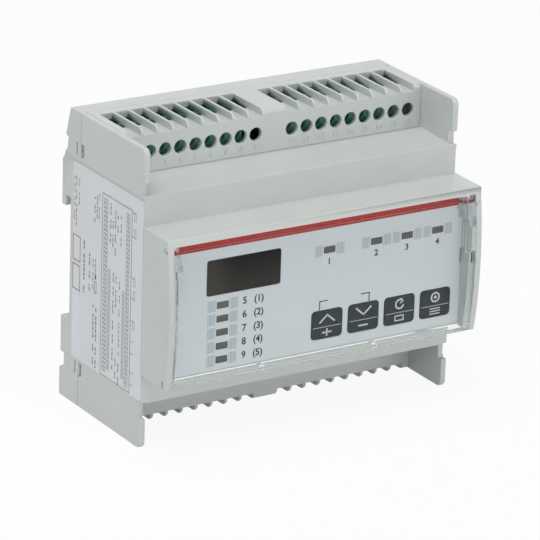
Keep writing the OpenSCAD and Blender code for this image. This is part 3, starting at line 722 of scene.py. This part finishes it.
# %% Mould the keys, lenses and latches
KEY_NAMES = ("up", "down", "reset", "test")
SIDES = ("left", "right")
for key in KEY_NAMES:
    moulded(f"{key}_cap", f"{key}_key", f"{key}_button", key_grey, 0.16)
moulded("display_glass", "display_window", "housing", display_lens, 0.12)
for side in SIDES:
    latch = f"rail_latch_{side}"
    moulded(f"{side}_rail_slide", latch, f"{side}_latch", latch_grey, 0.25)

# %% [markdown]
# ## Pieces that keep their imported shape
# Everything inside is seen only through slots, holes and the open door, and its
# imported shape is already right. It only needs its finish, which goes on the node's
# own mesh in place of the plain colour that came with it.

# %% Finish the pieces that stay
ENDS = ("top", "bottom")
PLAIN_PIECES = (
    (panel_foil, ["front_panel"]),
    (indicator_lens, ["status_windows", "measure_windows", "status_leds", "measure_leds"]),
    (black_plastic, ["key_switches", "display_module", "board_header", "microcontroller"]),
    (black_plastic, [f"{key}_plunger" for key in KEY_NAMES]),
    (board_green, ["display_board", "main_board"]),
    (screw_steel, ["display_board_screws", "main_board_screws"]),
    (transformer_lacquer, ["power_transformer"]),
    (relay_plastic, ["alarm_relay"]),
    (capacitor_sleeve, ["filter_capacitors"]),
    (terminal_green, [f"terminal_block_{end}_{side}" for end in ENDS for side in SIDES]),
    (clamp_nickel, [f"wire_clamps_{end}" for end in ENDS]),
    (label_white, ["side_label"]),
)
for material, nodes in PLAIN_PIECES:
    for node in nodes:
        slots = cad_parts[node].data.materials
        slots.clear()
        slots.append(material)
print("packed pieces finished:", sum(len(nodes) for _, nodes in PLAIN_PIECES))

# %% [markdown]
# ## Terminal screws
# Behind each hole sits a slotted cheese-head screw. A head is a short cylinder whose
# front edge is bevelled. Two cuts across it mark out the slot, and the strip between
# them is pushed in. The shank is a plainer cylinder that starts inside the head.

# %% Make the terminal screws
SCREW_SIDES = 24
HEAD_RADIUS, HEAD_LENGTH, HEAD_ROUND = 1.75, 1.8, 0.2
SHANK_RADIUS, SHANK_OVERLAP = 1.2, 0.05
SLOT_WIDTH, SLOT_DEPTH = 0.55, 0.7


def cylinder(shape, sides, radius, top, length):
    """A closed cylinder that reaches down along Z from its top."""
    middle = Matrix.Translation((0, 0, top - length / 2))
    bmesh.ops.create_cone(
        shape, cap_ends=True, segments=sides, radius1=radius, radius2=radius,
        depth=length, matrix=middle,
    )


def slotted_screw(shank_length):
    """A screw along Z with its head's face at the origin, measured in millimetres."""
    screw = bmesh.new()
    cylinder(screw, SCREW_SIDES, HEAD_RADIUS, 0, HEAD_LENGTH)
    rim = [e for e in screw.edges if all(v.co.z > -1e-6 for v in e.verts)]
    bmesh.ops.bevel(
        screw, geom=rim, offset=HEAD_ROUND, offset_type="OFFSET", segments=2,
        profile=0.5, affect="EDGES", material=-1,
    )
    for side in (-1, 1):
        bmesh.ops.bisect_plane(
            screw,
            geom=screw.verts[:] + screw.edges[:] + screw.faces[:],
            plane_co=(side * SLOT_WIDTH / 2, 0, 0),
            plane_no=(1, 0, 0),
        )
    strip = [
        f for f in screw.faces
        if f.normal.z > 0.9 and abs(f.calc_center_median().x) < SLOT_WIDTH / 2
    ]
    pushed = bmesh.ops.extrude_face_region(screw, geom=strip)
    moved = [v for v in pushed["geom"] if isinstance(v, bmesh.types.BMVert)]
    bmesh.ops.translate(screw, vec=(0, 0, -SLOT_DEPTH), verts=moved)
    bmesh.ops.delete(screw, geom=strip, context="FACES_ONLY")
    cylinder(screw, SCREW_SIDES // 2, SHANK_RADIUS, SHANK_OVERLAP - HEAD_LENGTH, shank_length)
    bmesh.ops.recalc_face_normals(screw, faces=screw.faces)
    return screw


print("screw heads", 2 * HEAD_RADIUS, "mm across")

# %% [markdown]
# ## Screws at their poles
# Every pole has its own screw, turned to wherever the last screwdriver left it. The
# packed rows know the poles, so the middle of each packed screw is looked up. One
# screw is made and repeated there, each turned on further than the one before.

# %% Place the terminal screws
FACING_FRONT = Matrix.Rotation(math.radians(90), 4, "X")
FROM_MM = Matrix.Diagonal((MM, MM, MM, 1))
SLOT_TURN = math.radians(47)


def separate_middles(node):
    """Across and height, in millimetres, of the middle of each solid in a packed group."""
    shape = merged_copy(node)
    unseen = set(shape.verts)
    middles = []
    while unseen:
        waiting, island = [unseen.pop()], []
        while waiting:
            vertex = waiting.pop()
            island.append(vertex.co.copy())
            for edge in vertex.link_edges:
                other = edge.other_vert(vertex)
                if other in unseen:
                    unseen.remove(other)
                    waiting.append(other)
        low = [min(p[i] for p in island) for i in range(3)]
        high = [max(p[i] for p in island) for i in range(3)]
        across, height = (low[0] + high[0]) / 2, (low[2] + high[2]) / 2 - MIDDLE_Z
        middles.append((across / MM, height / MM))
    shape.free()
    return sorted(middles)


def screw_row(name, node):
    low, high = measures(node)
    single = slotted_screw(high.y - low.y - HEAD_LENGTH)
    pattern = bpy.data.meshes.new("screw pattern")
    single.to_mesh(pattern)
    single.free()
    row = bmesh.new()
    for count, (across, height) in enumerate(separate_middles(node)):
        copy = pattern.copy()
        turned = Matrix.Rotation(count * SLOT_TURN, 4, "Z")
        place = Matrix.Translation(spot(across, high.y, height))
        copy.transform(place @ FACING_FRONT @ turned @ FROM_MM)
        row.from_mesh(copy)
        bpy.data.meshes.remove(copy)
    bpy.data.meshes.remove(pattern)
    for face in row.faces:
        face.smooth = True
    for edge in sharp_edges(row):
        edge.smooth = False
    add_piece(name, row, "housing", screw_steel, (node,))


screw_row("screws_upper", "terminal_screws_top")
screw_row("screws_lower", "terminal_screws_bottom")

# %% [markdown]
# ## Tools for printing
# Ink on the foil, the keys and the label is built from a few simple shapes: blocks,
# bars at an angle, rings and figures. Each is a thin plate that is sunk a little into
# what it lies on, so that no two faces coincide. The figures are plain numbers set in
# a text curve and turned into a mesh before they are placed.

# %% Printing tools
INK_PROUD, FILM_PROUD = 0.02, 0.012
INK_SUNK = 0.06
INK_MERGE = 0.0005
LINE_END = 0.98
CAPITAL_SHARE = 0.69


class Print:
    """Thin printed shapes on a face of the device, gathered into one piece.

    A place on the face is (u, v): u runs to the reader's right and v up, both in
    millimetres. The face's matrix carries (u, v, outward) into the scene.
    """

    def __init__(self, face, proud=INK_PROUD):
        self.face = face
        self.thickness = proud + INK_SUNK
        self.middle = (proud - INK_SUNK) / 2
        self.shape = bmesh.new()

    def at(self, u, v, turn=0.0):
        """The matrix of a place half way through the ink, turned by some degrees."""
        turned = Matrix.Rotation(math.radians(turn), 4, "Z")
        return Matrix.Translation((u, v, self.middle)) @ turned

    def plate(self, u, v, width, height, turn=0.0):
        """A rectangle about (u, v)."""
        size = Matrix.Diagonal((width, height, self.thickness, 1))
        bmesh.ops.create_cube(self.shape, size=1.0, matrix=self.at(u, v, turn) @ size)
        return self

    def line(self, start, end, width):
        """A line whose ends run on by nearly half its width, so that corners close."""
        (u0, v0), (u1, v1) = start, end
        length = math.hypot(u1 - u0, v1 - v0) + width * LINE_END
        turn = math.degrees(math.atan2(v1 - v0, u1 - u0))
        self.plate((u0 + u1) / 2, (v0 + v1) / 2, length, width, turn)

    def path(self, places, width):
        for start, end in zip(places, places[1:]):
            self.line(start, end, width)

    def frame(self, u, v, width, height, line):
        """The outline of a rectangle about (u, v)."""
        upright = height - (1 + LINE_END) * line
        for side in (-1, 1):
            self.plate(u, v + side * (height - line) / 2, width, line)
            self.plate(u + side * (width - line) / 2, v, line, upright)

    def arc(self, u, v, radius, width, start, sweep):
        """Part of a ring about (u, v), from start degrees, sweeping by sweep degrees."""
        profile = bmesh.ops.create_grid(self.shape, x_segments=1, y_segments=1, size=0.5)
        section = (
            self.at(u, v, start)
            @ Matrix.Translation((radius, 0, 0))
            @ Matrix.Rotation(math.radians(90), 4, "X")
            @ Matrix.Diagonal((width, self.thickness, 1, 1))
        )
        bmesh.ops.transform(self.shape, matrix=section, verts=profile["verts"])
        edges = {e for v in profile["verts"] for e in v.link_edges}
        faces = {f for v in profile["verts"] for f in v.link_faces}
        bmesh.ops.spin(
            self.shape,
            geom=[*profile["verts"], *edges, *faces],
            cent=(u, v, 0),
            axis=(0, 0, 1),
            angle=math.radians(sweep),
            steps=max(8, int(abs(sweep) / 10)),
            use_merge=abs(sweep) >= 360,
        )

    def figures(self, text, u, v, height, bold=0.0):
        """Plain numbers of this height about (u, v)."""
        curve = bpy.data.curves.new("figures", "FONT")
        curve.body = text
        curve.align_x, curve.align_y = "CENTER", "CENTER"
        curve.size = height / CAPITAL_SHARE
        curve.extrude = self.thickness / 2
        curve.offset = bold
        curve.resolution_u = 3
        holder = bpy.data.objects.new("figures", curve)
        scene.collection.objects.link(holder)
        bpy.context.view_layer.update()
        flat = bpy.data.meshes.new_from_object(holder)
        bpy.data.objects.remove(holder)
        bpy.data.curves.remove(curve)
        flat.transform(self.at(u, v))
        self.shape.from_mesh(flat)
        bpy.data.meshes.remove(flat)

    def done(self, name, body, material, slot):
        """Carries what was printed onto the device, as one piece."""
        bmesh.ops.remove_doubles(self.shape, verts=self.shape.verts, dist=INK_MERGE)
        bmesh.ops.transform(self.shape, matrix=self.face, verts=self.shape.verts)
        bmesh.ops.recalc_face_normals(self.shape, faces=self.shape.faces)
        add_piece(name, self.shape, body, material)


def front_face(depth):
    """The matrix of a face that looks forward at this depth."""
    return Matrix.Translation(spot(0, depth, 0)) @ FACING_FRONT @ FROM_MM


PANEL = front_face(PANEL_DEPTH)
print("ink stands", INK_PROUD, "mm proud of the foil")

# %% [markdown]
# ## Colour on the panel
# The foil carries a red stripe along its top edge and a dull field on both sides of
# every indicator, split by pale lines. The stripe reaches under the rim of the nose,
# as on the real foil. The fields are laid from the places of the indicator lenses, so
# they follow them wherever they are.

# %% Print the stripe and the fields
FOIL_MARGIN = 0.1
STRIPE_LOW, STRIPE_HIGH = 15.65, panel_high.z - FOIL_MARGIN
STRIPE_HALF = panel_high.x - FOIL_MARGIN
LAMP_WIDTH = 3.85
FIELD_HEIGHT, FIELD_LINE = 3.4, 0.16
WING_WIDTH, WING_GAP = 2.65, 0.4
LINES_PER_WING = 3

Print(PANEL).plate(
    0, (STRIPE_LOW + STRIPE_HIGH) / 2, 2 * STRIPE_HALF, STRIPE_HIGH - STRIPE_LOW
).done("red_stripe", "housing", red_ink, "panel_foil")

status_lamps = separate_middles("status_windows")
measure_lamps = sorted(separate_middles("measure_windows"), key=lambda lamp: -lamp[1])
fields = Print(PANEL, proud=FILM_PROUD)
field_lines = Print(PANEL)
for across, height in status_lamps + measure_lamps:
    for side in (-1, 1):
        wing_start = LAMP_WIDTH / 2 + WING_GAP
        wing = across + side * (wing_start + WING_WIDTH / 2)
        fields.plate(wing, height, WING_WIDTH, FIELD_HEIGHT)
        for count in range(LINES_PER_WING):
            aside = wing_start + (count + 0.5) / LINES_PER_WING * WING_WIDTH
            field_lines.plate(across + side * aside, height, FIELD_LINE, FIELD_HEIGHT)
fields.done("indicator_fields", "housing", pale_ink, "panel_foil")
field_lines.done("indicator_field_lines", "housing", label_white, "panel_foil")

# %% [markdown]
# ## Figures and bracket on the panel
# The places for words stay bare. Short figures stand beside the indicators, where an
# owner would look up a meaning, and are set from the lenses too. A bracket of thin
# lines ties two keys together.

# %% Print the figures and the bracket
SMALL_FIGURE, LARGE_FIGURE = 1.8, 2.0
BOLD = 0.07
FIGURE_BELOW, FIGURE_BESIDE, RANK_BESIDE = 3.6, 7.3, 12.0
BRACKET_LINE = 0.34
BRACKET_FOOT, BRACKET_TOP = -8.8, -6.3
LEFT_END, LEFT_ARM = 1.35, 3.9
RIGHT_ARM, RIGHT_END = 15.6, 18.25

panel_figures = Print(PANEL)
for count, (across, height) in enumerate(status_lamps, 1):
    panel_figures.figures(str(count), across, height - FIGURE_BELOW, SMALL_FIGURE, BOLD)
for rank, (across, height) in enumerate(measure_lamps, 1):
    number = str(len(status_lamps) + rank)
    panel_figures.figures(number, across + FIGURE_BESIDE, height, LARGE_FIGURE, BOLD)
    panel_figures.figures(f"({rank})", across + RANK_BESIDE, height, LARGE_FIGURE, BOLD)
panel_figures.done("panel_figures", "housing", dark_ink, "panel_foil")

bracket = Print(PANEL)
for corners in (
    ((LEFT_END, BRACKET_FOOT), (LEFT_END, BRACKET_TOP), (LEFT_ARM, BRACKET_TOP)),
    ((RIGHT_ARM, BRACKET_TOP), (RIGHT_END, BRACKET_TOP), (RIGHT_END, BRACKET_FOOT)),
):
    bracket.path(corners, BRACKET_LINE)
bracket.done("key_bracket", "housing", dark_ink, "panel_foil")

# %% [markdown]
# ## Legends on the keys
# The keys have two functions each, one above a thin line and one below it. The
# legends are engraved and filled with light paint on such keys. Arrows, plus and
# minus are common to all devices of this kind. They ride on their own keys, so they
# go down with them when a key is pressed.

# %% Key legends
LEGEND_LINE, THIN_LINE = 0.52, 0.36
DIVIDER_LINE, DIVIDER_BELOW, DIVIDER_INSET = 0.16, 0.75, 0.9
UPPER_HALF, LOWER_HALF = 1.85, -2.45
CHEVRON_HALF = (2.4, 1.05)
SIGN_WIDTH, SIGN_HEIGHT, BOX_HEIGHT = 3.2, 2.3, 1.8
RING, RING_START, RING_SWEEP = 1.35, 60, 290
TIP_ALONG, TIP_ASIDE = (0.5, 0.87), (0.55, -0.25)
BARBS = ((-0.75, 0.75), (-0.95, -0.6))
DIAMOND = 0.9
BAR_PITCH, BAR_WIDTH, BAR_LINE = 0.8, 3.6, 0.34


def new_legend(key):
    """Ink on a key, its dividing line drawn, and the middles of the key's halves."""
    low, high = measures(f"{key}_key")
    across, height = (low.x + high.x) / 2, (low.z + high.z) / 2
    legend = Print(front_face(high.y))
    legend.plate(across, height - DIVIDER_BELOW, high.x - low.x - DIVIDER_INSET, DIVIDER_LINE)
    return legend, across, height + UPPER_HALF, height + LOWER_HALF


def legend_done(legend, key):
    legend.done(f"{key}_legend", f"{key}_button", legend_white, "key_grey")


def arrow_legend(key, direction):
    """An arrow above the line, and below it a plus for up and a minus for down."""
    legend, across, top, low = new_legend(key)
    aside, rise = CHEVRON_HALF[0], direction * CHEVRON_HALF[1]
    foot, tip = top - rise, top + rise
    legend.path(((across - aside, foot), (across, tip), (across + aside, foot)), LEGEND_LINE)
    legend.plate(across, low, SIGN_WIDTH, LEGEND_LINE)
    if direction > 0:
        legend.plate(across, low, LEGEND_LINE, SIGN_HEIGHT)
    legend_done(legend, key)


def reset_legend():
    """A ring that ends in an arrow, above an empty box."""
    legend, across, top, low = new_legend("reset")
    legend.arc(across, top, RING, LEGEND_LINE, RING_START, RING_SWEEP)
    tip_u = across + RING * TIP_ALONG[0] + TIP_ASIDE[0]
    tip_v = top + RING * TIP_ALONG[1] + TIP_ASIDE[1]
    upper, lower = ((tip_u + u, tip_v + v) for u, v in BARBS)
    legend.path((upper, (tip_u, tip_v), lower), THIN_LINE)
    legend.frame(across, low, SIGN_WIDTH, BOX_HEIGHT, THIN_LINE)
    legend_done(legend, "reset")


def test_legend():
    """A full ring round a diamond, above three bars."""
    legend, across, top, low = new_legend("test")
    legend.arc(across, top, RING, LEGEND_LINE, 0, 360)
    legend.plate(across, top, DIAMOND, DIAMOND, 45)
    for row in (-1, 0, 1):
        legend.plate(across, low + BAR_PITCH * row, BAR_WIDTH, BAR_LINE)
    legend_done(legend, "test")


arrow_legend("up", 1)
arrow_legend("down", -1)
reset_legend()
test_legend()

# %% [markdown]
# ## Figures beside the terminals
# The covers carry a small raised number under every hole, moulded together with the
# cover and in its colour, so only its shadow shows it. The numbers run from left to
# right along the upper row and on along the lower one.

# %% Moulded terminal numbers
FIGURE_PROUD, TERMINAL_FIGURE = 0.18, 1.8
FIGURE_RISE = 2.2

cover_low, cover_high = measures("terminal_cover_top")
pole_places = [across for across, _ in separate_middles("terminal_screws_top")]
POLE_PITCH = pole_places[1] - pole_places[0]
left_group = [across for across in pole_places if across < 0]
right_group = [across for across in pole_places if across > 0]
ways_across = sorted(
    [*left_group, left_group[-1] + POLE_PITCH, *right_group, right_group[-1] + POLE_PITCH]
)
for row, side, first in (("upper", 1, 1), ("lower", -1, len(ways_across) + 1)):
    moulding = Print(front_face(cover_high.y), proud=FIGURE_PROUD)
    height = side * (cover_low.z + FIGURE_RISE)
    for count, across in enumerate(ways_across):
        moulding.figures(str(first + count), across, height, TERMINAL_FIGURE)
    moulding.done(f"terminal_numbers_{row}", "housing", housing_grey, "housing_grey")

# %% [markdown]
# ## Side label
# The label on the left wall is a satin paper-like film. Its drawing shows the wiring:
# a frame with ladders of clamps in it, and the outer parts as small symbols along the
# frame's front side. Every place on it is given from the label's rear edge and from
# its top, as one would measure it with a ruler.

# %% Print the label's drawing
label_low, label_high = measures("side_label")
FACING_LEFT = Matrix.Rotation(math.radians(-90), 4, "Z") @ FACING_FRONT
LABEL_CORNER = Matrix.Translation(spot(label_low.x, label_low.y, label_high.z))
LABEL = LABEL_CORNER @ FACING_LEFT @ FROM_MM
LABEL_LENGTH = label_high.z - label_low.z
FRAME_REAR, FRAME_FRONT, FRAME_LINE = 17.0, 34.2, 0.26
FRAME_TOP, FRAME_FOOT = 4.3, LABEL_LENGTH - 0.3
# From the rear, from the top, to, and width.
LADDERS = (
    (19.2, 5.6, 58.8, 2.3), (21.6, 26.0, 57.5, 1.3),
    (32.0, 6.0, 59.0, 2.0), (29.8, 30.0, 57.0, 1.2),
)
LADDER_STEP, LADDER_GAP, LADDER_LINE = 1.35, 0.2, 0.14
STROKE_INSET, STROKE_SLANT = 0.5, 48
SYMBOL_WIDTH, SYMBOL_HEIGHT, SYMBOL_LINE, SYMBOL_AHEAD = 1.1, 2.6, 0.16, 1.7
SYMBOLS = (6.0, 11.0, 25.5, 29.5, 38.5)
LEAD_LENGTH, LEAD_LINE, LEAD_AHEAD = 1.8, 0.18, 0.9
LEADS = (4.9, 12.1, 24.4, 30.6, 37.4, 43.7, 47.3, 53.2, 56.8)


def clamp_ladder(page, from_rear, from_top, to, width):
    """A run of clamp symbols: small boxes, each with a slanted stroke."""
    for count in range(int((to - from_top) / LADDER_STEP)):
        down = from_top + (count + 0.5) * LADDER_STEP
        page.frame(from_rear, -down, width, LADDER_STEP - LADDER_GAP, LADDER_LINE)
        page.plate(from_rear, -down, width - STROKE_INSET, LADDER_LINE, STROKE_SLANT)


wiring = Print(LABEL)
wiring.frame(
    (FRAME_REAR + FRAME_FRONT) / 2, -(FRAME_TOP + FRAME_FOOT) / 2,
    FRAME_FRONT - FRAME_REAR, FRAME_FOOT - FRAME_TOP, FRAME_LINE,
)
for ladder in LADDERS:
    clamp_ladder(wiring, *ladder)
for from_top in SYMBOLS:
    ahead = FRAME_FRONT + SYMBOL_AHEAD
    wiring.frame(ahead, -from_top, SYMBOL_WIDTH, SYMBOL_HEIGHT, SYMBOL_LINE)
for from_top in LEADS:
    wiring.plate(FRAME_FRONT + LEAD_AHEAD, -from_top, LEAD_LENGTH, LEAD_LINE)
wiring.done("label_wiring", "housing", grey_ink, "label_white")

# %% [markdown]
# ## Fine print and boxes on the label
# Between and behind the drawing lies fine print in upright columns, with a few empty
# boxes and a pale field for data. Fine print can't be read from where the device is
# seen, so it is drawn as rows of short strokes. Two sine waves with uneven steps vary
# their lengths and leave out a few, which looks like words and always comes out alike.

# %% Print the fine print and the boxes
SHORTEST_STROKE, STROKE_SPREAD, STROKE_GAP = 0.5, 0.8, 0.35
LENGTH_WAVE, SPACE_WAVE, SPACE_BELOW = (12.9898, 4.1414), (3.7, 1.9), -0.75
# As for the ladders: from the rear, from the top, to, and width.
PRINT_COLUMNS = (
    (0.9, 4.3, 16.3, 0.4), (2.0, 4.2, 18.2, 0.4), (3.6, 4.6, 11.4, 0.4),
    (6.9, 22.2, 38.9, 0.75), (10.1, 25.0, 35.6, 0.6), (12.2, 26.0, 35.0, 0.4),
    (13.6, 25.6, 30.0, 0.4), (12.8, 7.0, 13.8, 0.5), (14.1, 6.4, 14.2, 0.5),
    (15.4, 5.4, 12.0, 0.4), (12.6, 40.0, 58.6, 0.6), (14.2, 40.6, 59.2, 0.6),
    (22.0, 6.0, 17.5, 0.5), (23.4, 9.6, 18.5, 0.5), (24.8, 7.5, 20.0, 0.5),
    (26.2, 8.5, 14.0, 0.5), (28.0, 8.0, 17.0, 0.4), (24.0, 26.5, 38.0, 0.5),
    (25.6, 27.0, 36.0, 0.5), (27.6, 28.0, 50.0, 0.4), (24.0, 41.0, 55.0, 0.5),
    (25.8, 52.0, 58.6, 0.5), (27.4, 53.0, 59.0, 0.5),
)
# The middle, with downwards as minus, then width, height and line.
BOXES = (
    (2.4, -25.9, 4.4, 7.8, 0.24), (2.4, -34.8, 4.4, 7.8, 0.24), (13.6, -34.4, 1.3, 3.6, 0.2),
)
SMALL_BAR, DATA_FIELD = (13.6, -31.3, 0.7, 1.3), (2.5, -49.5, 4.0, 17.4)


def wave(steps, from_rear, count):
    return math.sin(from_rear * steps[0] + count * steps[1])


def fine_column(page, from_rear, from_top, to, width):
    """A column of short strokes, as fine print looks from where it can't be read."""
    down, count = from_top, 0
    while down < to:
        length = SHORTEST_STROKE + STROKE_SPREAD * abs(wave(LENGTH_WAVE, from_rear, count))
        if wave(SPACE_WAVE, from_rear, count) > SPACE_BELOW:
            page.plate(from_rear, -down - length / 2, width, length)
        down += length + STROKE_GAP
        count += 1


fine = Print(LABEL)
for column in PRINT_COLUMNS:
    fine_column(fine, *column)
fine.done("label_fine_print", "housing", grey_ink, "label_white")

boxes = Print(LABEL)
for box in BOXES:
    boxes.frame(*box)
boxes.plate(*SMALL_BAR)
boxes.done("label_boxes", "housing", dark_ink, "label_white")

field = Print(LABEL, proud=FILM_PROUD)
field.plate(*DATA_FIELD)
field.done("label_data_field", "housing", field_white, "label_white")
